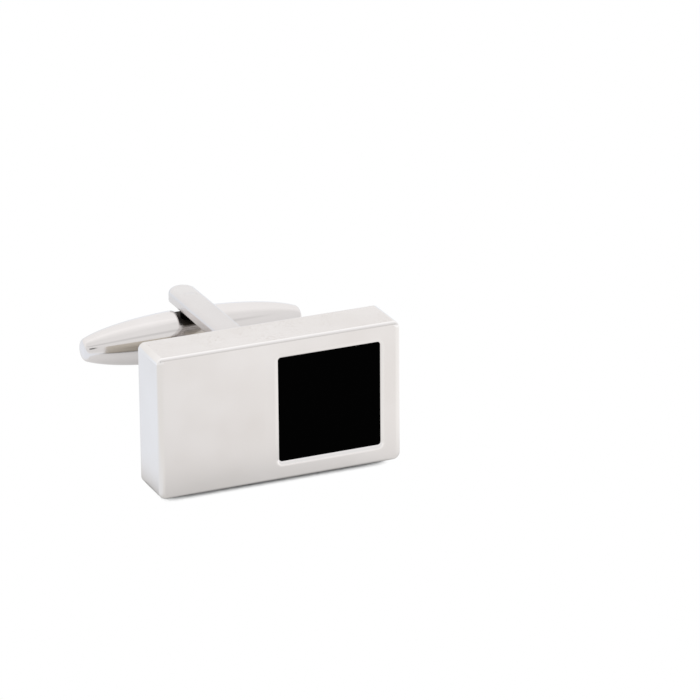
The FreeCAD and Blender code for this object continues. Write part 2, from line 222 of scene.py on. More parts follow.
def bare_material(name):
    """A material without nodes yet, its tree, and the place on the piece in millimetres."""
    material = bpy.data.materials.new(name)
    material.use_nodes = True
    tree = material.node_tree
    tree.nodes.clear()
    place = add_node(tree, "ShaderNodeTexCoord", {})
    in_mm = add_node(
        tree, "ShaderNodeVectorMath", {0: place.outputs["Object"], 1: [1 / MM] * 3}, operation="MULTIPLY"
    )
    return material, tree, in_mm


def rhodium_plating(name, light_tone, dark_tone, roughness):
    """Rhodium over polished brass: a warm white mirror, cloudy from buffing and faintly wavy."""
    cloud_size = 7.0
    wave_size = 1.6
    wave_height = 0.0012
    material, tree, in_mm = bare_material(name)
    clouds = add_node(
        tree, "ShaderNodeTexNoise", {"Vector": in_mm.outputs[0], "Scale": 1 / cloud_size, "Detail": 4.0}
    )
    cloudy = add_node(
        tree, "ShaderNodeMapRange", {"Value": clouds.outputs["Fac"], "From Min": 0.35, "From Max": 0.65}
    )
    tone = add_node(
        tree,
        "ShaderNodeMix",
        {"Factor": cloudy.outputs[0], MIX_A: linear(light_tone), MIX_B: linear(dark_tone)},
        data_type="RGBA",
    )
    haze = add_node(
        tree,
        "ShaderNodeMapRange",
        {"Value": clouds.outputs["Fac"], "To Min": roughness * 0.8, "To Max": roughness * 1.2},
    )
    waves = add_node(
        tree, "ShaderNodeTexNoise", {"Vector": in_mm.outputs[0], "Scale": 1 / wave_size, "Detail": 1.0}
    )
    wavy = add_node(
        tree, "ShaderNodeBump", {"Height": waves.outputs["Fac"], "Distance": wave_height * MM}
    )
    shader = add_node(
        tree,
        "ShaderNodeBsdfPrincipled",
        {
            "Base Color": tone.outputs[MIX_RESULT],
            "Metallic": 1.0,
            "Roughness": haze.outputs[0],
            "Normal": wavy.outputs[0],
        },
    )
    add_node(tree, "ShaderNodeOutputMaterial", {"Surface": shader.outputs[0]})
    return material, tree, shader, in_mm


def stain(tree, shader, mask, hex_colour, roughness):
    """Gives a surface another colour and roughness where mask is 1."""
    colour_before = shader.inputs["Base Color"].links[0].from_socket
    rough_before = shader.inputs["Roughness"].links[0].from_socket
    colour = add_node(
        tree,
        "ShaderNodeMix",
        {"Factor": mask, MIX_A: colour_before, MIX_B: linear(hex_colour)},
        data_type="RGBA",
    )
    rough = add_node(
        tree, "ShaderNodeMapRange", {"Value": mask, "To Min": rough_before, "To Max": roughness}
    )
    tree.links.new(colour.outputs[MIX_RESULT], shader.inputs["Base Color"])
    tree.links.new(rough.outputs[0], shader.inputs["Roughness"])


plating, tree, shader, in_mm = rhodium_plating("head_rhodium_plating", "#e7e3e1", "#e1dcd9", roughness=0.2)
# The back lies on the cuff and is only tumbled, so it stays duller than the face. It is also coloured browner
# and darker than the face.
facing = add_node(tree, "ShaderNodeTexCoord", {})
facing_axes = add_node(tree, "ShaderNodeSeparateXYZ", {0: facing.outputs["Normal"]})
back_mask = add_node(
    tree, "ShaderNodeMapRange", {"Value": facing_axes.outputs["Y"], "From Min": 0.5, "From Max": 0.9}
)
stain(tree, shader, back_mask.outputs[0], "#cdc6ba", roughness=0.38)
# The mop rubs rounded edges clearer than the flat faces. Where they look to the front and up they are
# painted whiter, as a painted highlight. A face is flat where one part of its direction is almost 1.
FLAT_FACE, FULL_EDGE = 0.9995, 0.985
HIGHLIGHT_SIDE = (0.1, 0, 0.995)
EDGE_ROUGHNESS = 0.07
turn = add_node(tree, "ShaderNodeVectorMath", {0: facing.outputs["Normal"]}, operation="ABSOLUTE")
turn_axes = add_node(tree, "ShaderNodeSeparateXYZ", {0: turn.outputs[0]})
flatness = turn_axes.outputs["X"]
for axis in ("Y", "Z"):
    larger = add_node(tree, "ShaderNodeMath", {0: flatness, 1: turn_axes.outputs[axis]}, operation="MAXIMUM")
    flatness = larger.outputs[0]
edge_mask = add_node(
    tree, "ShaderNodeMapRange", {"Value": flatness, "From Min": FLAT_FACE, "From Max": FULL_EDGE}
)
stain(tree, shader, edge_mask.outputs[0], "#e7e3e0", EDGE_ROUGHNESS)
to_highlight = add_node(
    tree, "ShaderNodeVectorMath", {0: facing.outputs["Normal"], 1: HIGHLIGHT_SIDE}, operation="DOT_PRODUCT"
)
highlight_facing = add_node(
    tree, "ShaderNodeMapRange", {"Value": to_highlight.outputs["Value"], "From Min": 0.02, "From Max": 0.12}
)
in_front = add_node(
    tree, "ShaderNodeMapRange", {"Value": facing_axes.outputs["Y"], "From Min": 0.0, "From Max": -0.2}
)
painted_highlight_edge = edge_mask
for share in (highlight_facing, in_front):
    painted_highlight_edge = add_node(
        tree, "ShaderNodeMath", {0: painted_highlight_edge.outputs[0], 1: share.outputs[0]}, operation="MULTIPLY"
    )
# Painted highlight: rounded edges that face the front and up are painted near white.
stain(tree, shader, painted_highlight_edge.outputs[0], "#f5f2f1", EDGE_ROUGHNESS)
# Just below the top rim a fine darker line is painted along the face: a painted dark reflection in the rim.
line_width = 0.08
reflection_line_drop = 0.7 * HEAD_RIM_RADIUS
reflection_line_place = head_high.z - reflection_line_drop
head_axes = add_node(tree, "ShaderNodeSeparateXYZ", {0: in_mm.outputs[0]})
from_reflection_line = add_node(tree, "ShaderNodeMath", {0: head_axes.outputs["Z"], 1: reflection_line_place}, operation="SUBTRACT")
from_reflection_line = add_node(tree, "ShaderNodeMath", {0: from_reflection_line.outputs[0]}, operation="ABSOLUTE")
line_mask = add_node(
    tree, "ShaderNodeMapRange", {"Value": from_reflection_line.outputs[0], "From Min": line_width, "From Max": 0.0}
)
on_face = add_node(
    tree, "ShaderNodeMapRange", {"Value": facing_axes.outputs["Y"], "From Min": -0.8, "From Max": -0.93}
)
line_mask = add_node(
    tree, "ShaderNodeMath", {0: line_mask.outputs[0], 1: on_face.outputs[0]}, operation="MULTIPLY"
)
stain(tree, shader, line_mask.outputs[0], "#dbd6d3", roughness=0.14)
# Pits in the plating, as small brown specks that gather in patches on the top.
speck_size = 0.13
patch_size = 2.6
speck_noise = add_node(
    tree, "ShaderNodeTexNoise", {"Vector": in_mm.outputs[0], "Scale": 1 / speck_size, "Detail": 2.0}
)
speck_patches = add_node(
    tree, "ShaderNodeTexNoise", {"Vector": in_mm.outputs[0], "Scale": 1 / patch_size, "Detail": 1.0}
)
speck_shape = add_node(
    tree, "ShaderNodeMapRange", {"Value": speck_noise.outputs["Fac"], "From Min": 0.52, "From Max": 0.7}
)
speck_spread = add_node(
    tree, "ShaderNodeMapRange", {"Value": speck_patches.outputs["Fac"], "From Min": 0.4, "From Max": 0.65}
)
on_top = add_node(
    tree,
    "ShaderNodeMapRange",
    {"Value": facing_axes.outputs["Z"], "From Min": 0.97, "From Max": 0.999, "To Max": 0.24},
)
specks = add_node(
    tree, "ShaderNodeMath", {0: speck_shape.outputs[0], 1: speck_spread.outputs[0]}, operation="MULTIPLY"
)
specks = add_node(tree, "ShaderNodeMath", {0: specks.outputs[0], 1: on_top.outputs[0]}, operation="MULTIPLY")
stain(tree, shader, specks.outputs[0], "#9c8068", roughness=0.45)
show(head, "head", "head_block", plating)

# Inlay: a square tile of black resin, cast and ground flat, cemented in the head's pocket a hair
# below the face. It is glossy and takes nearly all light in.

INLAY_EDGE_RADIUS = 0.06
tile_half = pocket_half - POCKET_CLEARANCE
inlay = slab(
    "black_tile",
    inlay_middle,
    tile_half,
    tile_half,
    POCKET_CORNER_RADIUS - POCKET_CLEARANCE,
    inlay_low.y,
    inlay_high.y,
    INLAY_EDGE_RADIUS,
)


def cast_black_resin():
    """Black casting resin, ground and buffed: deep black, with a faint cloud of buffing haze."""
    haze_size = 1.8
    scratch_length = 3.0
    scratch_width = 0.05
    material, tree, in_mm = bare_material("cast_black_resin")
    haze = add_node(
        tree, "ShaderNodeTexNoise", {"Vector": in_mm.outputs[0], "Scale": 1 / haze_size, "Detail": 4.0}
    )
    # Buffing lines are far finer than this; they are drawn this coarse so that they show.
    lines_place = add_node(
        tree,
        "ShaderNodeVectorMath",
        {0: in_mm.outputs[0], 1: (1 / scratch_width, 1.0, 1 / scratch_length)},
        operation="MULTIPLY",
    )
    lines = add_node(
        tree, "ShaderNodeTexNoise", {"Vector": lines_place.outputs[0], "Scale": 1.0, "Detail": 1.0}
    )
    line_mask = add_node(
        tree, "ShaderNodeMapRange", {"Value": lines.outputs["Fac"], "From Min": 0.72, "From Max": 0.8}
    )
    colour = add_node(
        tree,
        "ShaderNodeMix",
        {"Factor": line_mask.outputs[0], MIX_A: linear("#020202"), MIX_B: linear("#0b0c0d")},
        data_type="RGBA",
    )
    rough = add_node(
        tree,
        "ShaderNodeMapRange",
        {"Value": haze.outputs["Fac"], "From Min": 0.3, "From Max": 0.7, "To Min": 0.06, "To Max": 0.14},
    )
    shader = add_node(
        tree,
        "ShaderNodeBsdfPrincipled",
        {
            "Base Color": colour.outputs[MIX_RESULT],
            "Roughness": rough.outputs[0],
            "IOR": 1.5,
            "Specular IOR Level": 0.005,
        },
    )
    add_node(tree, "ShaderNodeOutputMaterial", {"Surface": shader.outputs[0]})
    return material


show(inlay, "head", "black_inlay", cast_black_resin())

# Fork: the post that goes through the cuff, cast in brass in one piece: a round foot soldered into
# the head's back, a short stem, a round bend and two flat arms with half round ends.
# Each arm has an eye on its inside that stands in the toggle's waist.

STEM_HEIGHT = 2.6
ROOT_RADIUS = 0.45
BEND_DISTANCE = 6.0
BEND_BLEND_RADIUS = 0.9
ARM_THICKNESS = 1.05
ARM_HALF_WIDTH = 1.1
ARM_EDGE_RADIUS = 0.45
ARM_INSIDE_RADIUS = 0.12
EYE_RADIUS = 0.85
EYE_CLEARANCE = 0.04
PIN_STEPS = 48
WAIST_FLOOR = 1.35
ARM_TONES = ("#e2dfde", "#dcd8d7")
ARM_ROUGHNESS = 0.24
SHADE_REACH = 2.5 * EYE_RADIUS
SHADE_ROUGHNESS = 0.6

pin_low, pin_high = box_in_mm("pivot_pin")
pivot = (pin_low.y + pin_high.y) / 2
pin_radius = (pin_high.y - pin_low.y) / 2
arm_outside = pin_high.z
arm_inside = arm_outside - ARM_THICKNESS
arm_tip = fork_high.y
# What joins another body of the fork reaches a little way into it.
sunk = fork_low.y / 2

# The outline from the side, whose upper half runs from the stem to the tip and back to the bend.
blend_height = STEM_HEIGHT / 2 + BEND_BLEND_RADIUS
blend_reach = math.sqrt((arm_outside + BEND_BLEND_RADIUS) ** 2 - blend_height ** 2)
blend_angle = math.degrees(math.atan2(blend_height, blend_reach))
upper_half = [(sunk, STEM_HEIGHT / 2)]
upper_half += arc(
    (BEND_DISTANCE - blend_reach, blend_height), BEND_BLEND_RADIUS, -90, -blend_angle, steps=10
)
upper_half += arc((BEND_DISTANCE, 0), arm_outside, 180 - blend_angle, 90, steps=24)[1:]
upper_half += [(arm_tip, arm_outside), (arm_tip, arm_inside)]
upper_half += arc((BEND_DISTANCE, 0), arm_inside, 90, 180, steps=32)
side_outline = upper_half + [(y, -z) for y, z in reversed(upper_half[:-1])]
fork = loft(
    "forked_post",
    [[Vector((x, y, z)) for y, z in side_outline] for x in (-ARM_HALF_WIDTH, ARM_HALF_WIDTH)],
)


def round_edges(piece, radius, segments, chosen):
    """Rounds the sharp edges of a piece for whose middle point chosen is true."""
    shape = bmesh.new()
    shape.from_mesh(piece.data)
    edges = []
    for edge in shape.edges:
        middle = (edge.verts[0].co + edge.verts[1].co) / 2
        if edge.calc_face_angle(0) > SHARP_ANGLE and chosen(middle):
            edges.append(edge)
    bmesh.ops.bevel(
        shape, geom=edges, offset=radius, segments=segments, profile=0.5, affect="EDGES"
    )
    bmesh.ops.remove_doubles(shape, verts=shape.verts, dist=MERGE_DISTANCE)
    shape.to_mesh(piece.data)
    shape.free()


def arm_end_corner(middle):
    return middle.y > arm_tip - MERGE_DISTANCE and abs(middle.x) > ARM_HALF_WIDTH - MERGE_DISTANCE


def inside_the_fork(middle):
    if middle.y < BEND_DISTANCE:
        return math.hypot(middle.y - BEND_DISTANCE, middle.z) < arm_inside + ARM_INSIDE_RADIUS / 2
    return abs(middle.z) < arm_inside + ARM_INSIDE_RADIUS / 2


def outside_the_fork(middle):
    return middle.y > ROOT_RADIUS and not inside_the_fork(middle)


round_edges(fork, ARM_HALF_WIDTH - MERGE_DISTANCE / 4, segments=20, chosen=arm_end_corner)
round_edges(fork, ARM_EDGE_RADIUS, segments=8, chosen=outside_the_fork)
round_edges(fork, ARM_INSIDE_RADIUS, segments=3, chosen=inside_the_fork)

foot_outline = circle(FOOT_RADIUS, FOOT_STEPS)
carve(fork, loft("foot", [across(foot_outline, y) for y in (fork_low.y, 0)]), "UNION")
root_places = arc((ROOT_RADIUS, ROOT_RADIUS), ROOT_RADIUS, 270, 180, steps=10)
root_places = [(ROOT_RADIUS, sunk)] + root_places + [(-FOOT_CLEARANCE, ROOT_RADIUS + FOOT_CLEARANCE)]
root_rings = []
for out, y in root_places:
    outline = rounded_rectangle(
        (0, 0), ARM_HALF_WIDTH + out, STEM_HEIGHT / 2 + out, ARM_EDGE_RADIUS + out
    )
    root_rings.append(across(outline, y))
carve(fork, loft("root", root_rings), "UNION")


def upright(name, outline, low, high):
    """A prism about the pivot's own axis, from an outline in X and Y."""
    return loft(name, [[Vector((x, pivot + y, z)) for x, y in outline] for z in (low, high)])


for level in (-1, 1):
    eye_ends = (level * (WAIST_FLOOR + EYE_CLEARANCE), level * (arm_inside + ARM_THICKNESS / 2))
    carve(fork, upright("eye", circle(EYE_RADIUS, PIN_STEPS), *eye_ends), "UNION")
beyond_arms = arm_outside + CUT_OVERRUN
carve(fork, upright("hole_cutter", circle(pin_radius, PIN_STEPS), -beyond_arms, beyond_arms))

plating, tree, shader, in_mm = rhodium_plating("fork_rhodium_plating", *ARM_TONES, ARM_ROUGHNESS)
# Between the arms, round the eyes, the plating is painted dark and dull: painted shade where the arms close
# in.
fork_axes = add_node(tree, "ShaderNodeSeparateXYZ", {0: in_mm.outputs[0]})
height = add_node(tree, "ShaderNodeMath", {0: fork_axes.outputs["Z"]}, operation="ABSOLUTE")
inside_mask = add_node(
    tree,
    "ShaderNodeMapRange",
    {
        "Value": height.outputs[0],
        "From Min": arm_inside + ARM_INSIDE_RADIUS,
        "From Max": arm_inside - ARM_INSIDE_RADIUS,
    },
)
near_eye = add_node(
    tree,
    "ShaderNodeMapRange",
    {
        "Value": fork_axes.outputs["Y"],
        "From Min": pivot - SHADE_REACH,
        "From Max": pivot - EYE_RADIUS,
    },
)
painted_shade = add_node(
    tree, "ShaderNodeMath", {0: inside_mask.outputs[0], 1: near_eye.outputs[0]}, operation="MULTIPLY"
)
stain(tree, shader, painted_shade.outputs[0], "#1c1815", SHADE_ROUGHNESS)
show(fork, "head", "post_fork", plating)

# Toggle: the swivel bar, turned in brass as a torpedo with blunt tips, then milled flat above and
# below at its waist for the fork's eyes, and slotted in its back for the spring.
# Its lobes are polished to a mirror; the waist is painted dark, as painted shade.

TOGGLE_RADIUS = 2.0
TIP_RADIUS = 0.78
TIP_ROUND = 0.45
WAIST_HALF_WIDTH = 1.15
LOBE_ROUND = 0.4
SLOT_CLEARANCE = 0.03
CAM_CLEARANCE = 0.06
BEARING_CLEARANCE = 0.03

toggle_high = box_in_mm("toggle_body")[1]
spring_low, spring_high = box_in_mm("leaf_spring")
cam_high = box_in_mm("detent_cam")[1]
half_length = toggle_high.x
ellipse_half = half_length / math.sqrt(1 - (TIP_RADIUS / TOGGLE_RADIUS) ** 2)
lobe_start = WAIST_HALF_WIDTH + LOBE_ROUND


def torpedo_radius(x):
    return TOGGLE_RADIUS * math.sqrt(1 - (x / ellipse_half) ** 2)


def tip_profile():
    """The blunt tip from its flat end to where its rounding meets the ellipse, as (x, radius)."""
    fineness = 2000
    for step in range(1, fineness):
        x = half_length * (1 - step / fineness)
        slope = math.atan2(TOGGLE_RADIUS ** 2 * x, ellipse_half ** 2 * torpedo_radius(x))
        if x - TIP_ROUND * math.sin(slope) < half_length - TIP_ROUND:
            break
    centre = (half_length - TIP_ROUND, torpedo_radius(x) - TIP_ROUND * math.cos(slope))
    return arc(centre, TIP_ROUND, 0, 90 - math.degrees(slope), steps=12)


def lobe_profile():
    """A lobe from its tip to the start of its inner rounding, as (x, radius)."""
    steps = 70
    profile = tip_profile()
    start = math.acos(profile[-1][0] / ellipse_half)
    end = math.acos(lobe_start / ellipse_half)
    for step in range(1, steps + 1):
        angle = start + (end - start) * step / steps
        profile.append((ellipse_half * math.cos(angle), TOGGLE_RADIUS * math.sin(angle)))
    return profile


def bar_ring(x, radius, crown=None, flat=False):
    """Points round the bar at x: two round sides, and between them a crown above and below.

    The crown has a smaller radius where a lobe is rounded off, and is flat in the waist.
    """
    side_steps, crown_steps = 28, 44
    side_angle = math.asin(min(WAIST_FLOOR / radius, WAIST_FLOOR / torpedo_radius(lobe_start)))
    crown_angle = side_angle
    if crown is None:
        crown = radius
    else:
        crown_angle = math.asin(WAIST_FLOOR / crown)
    side_angle = math.degrees(side_angle)
    crown_angle = math.degrees(crown_angle)
    half_ring = arc((0, 0), radius, -side_angle, side_angle, side_steps)
    top = arc((0, 0), crown, crown_angle, 180 - crown_angle, crown_steps)
    if flat:
        top = [(y, WAIST_FLOOR) for y, z in top]
    half_ring += top
    return [Vector((x, pivot + y, z)) for y, z in half_ring + [(-y, -z) for y, z in half_ring]]


lobe = lobe_profile()
right_half = [bar_ring(x, radius) for x, radius in lobe]
shoulder_centre = (lobe_start, torpedo_radius(lobe_start) - LOBE_ROUND)
shoulder = arc(shoulder_centre, LOBE_ROUND, 90, 180, steps=12)[1:]
right_half += [bar_ring(x, torpedo_radius(x), crown) for x, crown in shoulder]
waist_crown = shoulder[-1][1]
for share in (1.0, 0.67, 0.33):
    x = WAIST_HALF_WIDTH * share
    right_half.append(bar_ring(x, torpedo_radius(x), waist_crown, flat=True))
middle_ring = bar_ring(0, TOGGLE_RADIUS, waist_crown, flat=True)
left_half = [[Vector((-point.x, point.y, point.z)) for point in ring] for ring in reversed(right_half)]
toggle = loft("swivel_bar", right_half + [middle_ring] + left_half)


def block(name, low, high):
    """A plain block between two corners, to cut with."""
    outline = [(low[0], low[2]), (high[0], low[2]), (high[0], high[2]), (low[0], high[2])]
    return loft(name, [across(outline, low[1]), across(outline, high[1])])


slot_low = (spring_low.x - SLOT_CLEARANCE, cam_high.y, spring_low.z - SLOT_CLEARANCE)
slot_high = (spring_high.x + SLOT_CLEARANCE, toggle_high.y + CUT_OVERRUN, spring_high.z + SLOT_CLEARANCE)
carve(toggle, block("slot_cutter", slot_low, slot_high))
cam_reach = (cam_high.y - pivot) * math.sqrt(2) + CAM_CLEARANCE
cam_pocket_low = (-cam_reach, pivot - cam_reach, slot_low[2])
cam_pocket_high = (cam_reach, pivot + TOGGLE_RADIUS / 2, slot_high[2])
carve(toggle, block("cam_cutter", cam_pocket_low, cam_pocket_high))
bearing_outline = circle(pin_radius + BEARING_CLEARANCE, PIN_STEPS)
carve(toggle, upright("bearing_cutter", bearing_outline, -beyond_arms, beyond_arms))


def toggle_plating(name):
    """The head's plating, buffed brighter, with painted shade in the waist and brown streaks of painted
    reflection.
    """
    streak_width = 0.12
    streak_length = 1.5
    half_fade = 0.5
    shade_edge, shade_full = WAIST_FLOOR * 0.85, WAIST_FLOOR * 0.98
    material, tree, shader, in_mm = rhodium_plating(name, "#e7e3e2", "#e2dedc", roughness=0.11)
    axes = add_node(tree, "ShaderNodeSeparateXYZ", {0: in_mm.outputs[0]})
    along = add_node(tree, "ShaderNodeMath", {0: axes.outputs["X"]}, operation="ABSOLUTE")
    height = add_node(tree, "ShaderNodeMath", {0: axes.outputs["Z"]}, operation="ABSOLUTE")
    in_waist = add_node(
        tree,
        "ShaderNodeMapRange",
        {"Value": along.outputs[0], "From Min": lobe_start, "From Max": WAIST_HALF_WIDTH},
    )
    # Painted reflection: the waist's side towards the head is painted brown, as the head's dark back mirrored
    # in it, broken into streaks.
    streaks_place = add_node(
        tree,
        "ShaderNodeVectorMath",
        {0: in_mm.outputs[0], 1: (1 / streak_length, 1 / streak_width, 1 / streak_width)},
        operation="MULTIPLY",
    )
    streaks = add_node(
        tree, "ShaderNodeTexNoise", {"Vector": streaks_place.outputs[0], "Scale": 1.0, "Detail": 2.0}
    )
    streak_mask = add_node(
        tree,
        "ShaderNodeMapRange",
        {"Value": streaks.outputs["Fac"], "From Min": 0.45, "From Max": 0.7, "To Max": 0.6},
    )
    to_head = add_node(
        tree,
        "ShaderNodeMapRange",
        {"Value": axes.outputs["Y"], "From Min": pivot + half_fade, "From Max": pivot - half_fade},
    )
    streaked_reflection = add_node(
        tree, "ShaderNodeMath", {0: in_waist.outputs[0], 1: streak_mask.outputs[0]}, operation="MULTIPLY"
    )
    streaked_reflection = add_node(
        tree, "ShaderNodeMath", {0: streaked_reflection.outputs[0], 1: to_head.outputs[0]}, operation="MULTIPLY"
    )
    stain(tree, shader, streaked_reflection.outputs[0], "#a0968d", roughness=0.4)
    # Painted shade: the waist's flats are darkened where the arms and lobes shut out the light.
    on_floor = add_node(
        tree,
        "ShaderNodeMapRange",
        {"Value": height.outputs[0], "From Min": shade_edge, "From Max": shade_full},
    )
    painted_shade = add_node(
        tree, "ShaderNodeMath", {0: in_waist.outputs[0], 1: on_floor.outputs[0]}, operation="MULTIPLY"
    )
    stain(tree, shader, painted_shade.outputs[0], "#4a423a", SHADE_ROUGHNESS)
    return material


show(toggle, "toggle", "toggle_body", toggle_plating("bar_rhodium_plating"))

# Detent cam: a square bush of bare brass, sawn from drawn bar and pressed on the pin's middle, so
# that it stands still inside the toggle and the spring clicks from flat to flat.


def drawn_brass():
    """Bare brass from a drawn bar: yellow, with fine lines along the bar and a little tarnish."""
    line_width = 0.06
    tarnish_size = 0.5
    material, tree, in_mm = bare_material("drawn_brass")
    lines_place = add_node(
        tree,
        "ShaderNodeVectorMath",
        {0: in_mm.outputs[0], 1: (1 / line_width, 1 / line_width, 1.0)},
        operation="MULTIPLY",
    )
    lines = add_node(
        tree, "ShaderNodeTexNoise", {"Vector": lines_place.outputs[0], "Scale": 1.0, "Detail": 2.0}
    )
    tarnish = add_node(
        tree, "ShaderNodeTexNoise", {"Vector": in_mm.outputs[0], "Scale": 1 / tarnish_size, "Detail": 3.0}
    )
    colour = add_node(
        tree,
        "ShaderNodeMix",
        {"Factor": tarnish.outputs["Fac"], MIX_A: linear("#dcc182"), MIX_B: linear("#a8864c")},
        data_type="RGBA",
    )
    rough = add_node(
        tree, "ShaderNodeMapRange", {"Value": lines.outputs["Fac"], "To Min": 0.2, "To Max": 0.5}
    )
    shader = add_node(
        tree,
        "ShaderNodeBsdfPrincipled",
        {"Base Color": colour.outputs[MIX_RESULT], "Metallic": 1.0, "Roughness": rough.outputs[0]},
    )
    add_node(tree, "ShaderNodeOutputMaterial", {"Surface": shader.outputs[0]})
    return material


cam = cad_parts["detent_cam"]
cam.data.materials.clear()
cam.data.materials.append(drawn_brass())

# Pivot pin: brass wire put through arms, toggle and cam. Both ends are riveted over, ground flush
# with the arms and plated with them, so that only a hairline shows round each.

PIN_END_ROUND = 0.02
upper_end = []
for radius, rise in arc((pin_radius - PIN_END_ROUND, 0), PIN_END_ROUND, 0, 90, steps=3):
    height = pin_high.z - PIN_END_ROUND + rise
    upper_end.append([Vector((x, pivot + y, height)) for x, y in circle(radius, PIN_STEPS)])
lower_end = [[Vector((point.x, point.y, -point.z)) for point in ring] for ring in reversed(upper_end)]
pin = loft("riveted_pin", lower_end + upper_end)
plating = rhodium_plating("pin_rhodium_plating", *ARM_TONES, ARM_ROUGHNESS)[0]
show(pin, "head", "pivot_pin", plating)

# Leaf spring: a strip of hardened steel in the toggle's slot. It lies on a flat of the cam and is
# held at its two ends by the keeper.


def rolled_steel():
    """Spring steel as rolled: grey, with fine lines along the strip and a blued tint."""
    line_width = 0.05
    line_length = 3.0
    material, tree, in_mm = bare_material("rolled_spring_steel")
    lines_place = add_node(
        tree,
        "ShaderNodeVectorMath",
        {0: in_mm.outputs[0], 1: (1 / line_length, 1 / line_width, 1 / line_width)},
        operation="MULTIPLY",
    )
    lines = add_node(
        tree, "ShaderNodeTexNoise", {"Vector": lines_place.outputs[0], "Scale": 1.0, "Detail": 2.0}
    )
    colour = add_node(
        tree,
        "ShaderNodeMix",
        {"Factor": lines.outputs["Fac"], MIX_A: linear("#c9cacd"), MIX_B: linear("#9ea3ad")},
        data_type="RGBA",
    )
    rough = add_node(
        tree, "ShaderNodeMapRange", {"Value": lines.outputs["Fac"], "To Min": 0.25, "To Max": 0.45}
    )
    shader = add_node(
        tree,
        "ShaderNodeBsdfPrincipled",
        {"Base Color": colour.outputs[MIX_RESULT], "Metallic": 1.0, "Roughness": rough.outputs[0]},
    )
    add_node(tree, "ShaderNodeOutputMaterial", {"Surface": shader.outputs[0]})
    return material


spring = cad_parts["leaf_spring"]
spring.data.materials.clear()
spring.data.materials.append(rolled_steel())

# Spring keeper: a brass strip that closes the slot. It is shaped with the bar, so its back follows
# the torpedo, and inside it bears on the spring's ends by two pads.

KEEPER_PAD_LENGTH = 1.0
KEEPER_RELIEF = 0.42

keeper_low, keeper_high = box_in_mm("spring_keeper")
right_half = [bar_ring(x, radius) for x, radius in lobe]
left_half = [bar_ring(-x, radius) for x, radius in reversed(lobe)]
keeper = loft("slot_keeper", right_half + [bar_ring(0, TOGGLE_RADIUS)] + left_half)
keeper_sides = block(
    "keeper_sides",
    (keeper_low.x, spring_high.y, keeper_low.z),
    (keeper_high.x, keeper_high.y + CUT_OVERRUN, keeper_high.z),
)
carve(keeper, keeper_sides, "INTERSECT")
relief_half = keeper_high.x - KEEPER_PAD_LENGTH
keeper_inside = block(
    "keeper_inside",
    (-relief_half, spring_high.y - CUT_OVERRUN, keeper_low.z - CUT_OVERRUN),
    (relief_half, spring_high.y + KEEPER_RELIEF, keeper_high.z + CUT_OVERRUN),
)
carve(keeper, keeper_inside)
show(keeper, "toggle", "spring_keeper", toggle_plating("keeper_rhodium_plating"))

# Table: a white board. The cufflink leans back on it, on the head's rear bottom edge and the tip
# of the lower arm, so the board is tilted against the part's own axes.

TABLE_HALF = 600

contact_front = Vector((0, 0, head_low.z))
contact_back = Vector((0, arm_tip - ARM_EDGE_RADIUS, -arm_outside))
table_along = (contact_back - contact_front).normalized()
table_corners = []
for side, reach in ((-1, -1), (1, -1), (1, 1), (-1, 1)):
    corner = contact_front + Vector((side * TABLE_HALF, 0, 0)) + table_along * reach * TABLE_HALF
    table_corners.append(corner * MM)
table_mesh = bpy.data.meshes.new("white_table")
table_mesh.from_pydata(table_corners, [], [(0, 1, 2, 3)])
table = bpy.data.objects.new("white_table", table_mesh)
bpy.context.scene.collection.objects.link(table)


